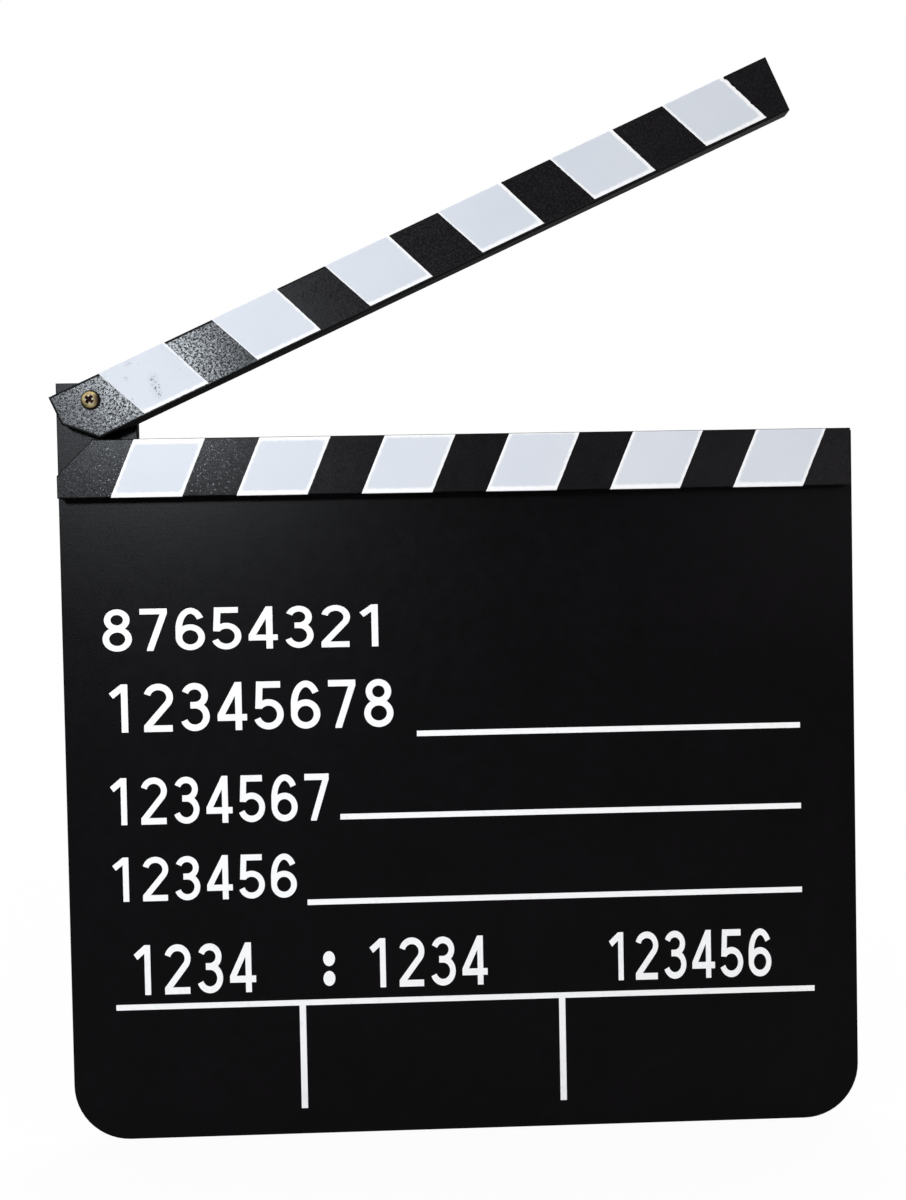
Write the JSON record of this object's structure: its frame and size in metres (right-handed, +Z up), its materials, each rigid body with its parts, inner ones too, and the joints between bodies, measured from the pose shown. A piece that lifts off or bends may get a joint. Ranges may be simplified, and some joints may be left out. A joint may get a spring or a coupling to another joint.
{
  "type": "clapperboard",
  "caption": "Film clapperboard: thin black slate board with ruled white lines, a glued lower stick and a screw-pivoted upper stick, both with slanted white stripes.",
  "frame": {"origin": "middle of the board's bottom edge, halfway through its thickness", "axes": "+Z up the board's height, -Y out of its written face, +X to the right as the written face is seen; the pivot is at the upper left"},
  "size_m": [0.3005, 0.0149, 0.4021],
  "materials": {
    "board_lacquer": "black satin paint on thin fibreboard",
    "stick_lacquer": "black paint with a fine grainy texture on fibreboard",
    "white_stripe": "cool white self-adhesive film",
    "white_line": "white self-adhesive film",
    "yellow_zinc": "yellow zinc plated steel"
  },
  "bodies": {
    "board": {"board_panel": "board_lacquer", "lower_stick": "stick_lacquer", "pivot_screw": "yellow_zinc", "back_washer": "yellow_zinc", "pivot_nut": "yellow_zinc", "lower_stripe_1": "white_stripe", "lower_stripe_2": "white_stripe", "lower_stripe_3": "white_stripe", "lower_stripe_4": "white_stripe", "lower_stripe_5": "white_stripe", "lower_stripe_6": "white_stripe", "row_line_1": "white_line", "row_line_2": "white_line", "row_line_3": "white_line", "table_line": "white_line", "column_line_1": "white_line", "column_line_2": "white_line"},
    "clapper": {"upper_stick": "stick_lacquer", "upper_stripe_1": "white_stripe", "upper_stripe_2": "white_stripe", "upper_stripe_3": "white_stripe", "upper_stripe_4": "white_stripe", "upper_stripe_5": "white_stripe", "upper_stripe_6": "white_stripe"}
  },
  "joints": [
    {"name": "clap_hinge", "type": "hinge", "parent": "board", "child": "clapper", "pos_m": [-0.135, 0, 0.2787], "axis": [0, -1, 0], "range_deg": [-24.6, 82]}
  ]
}
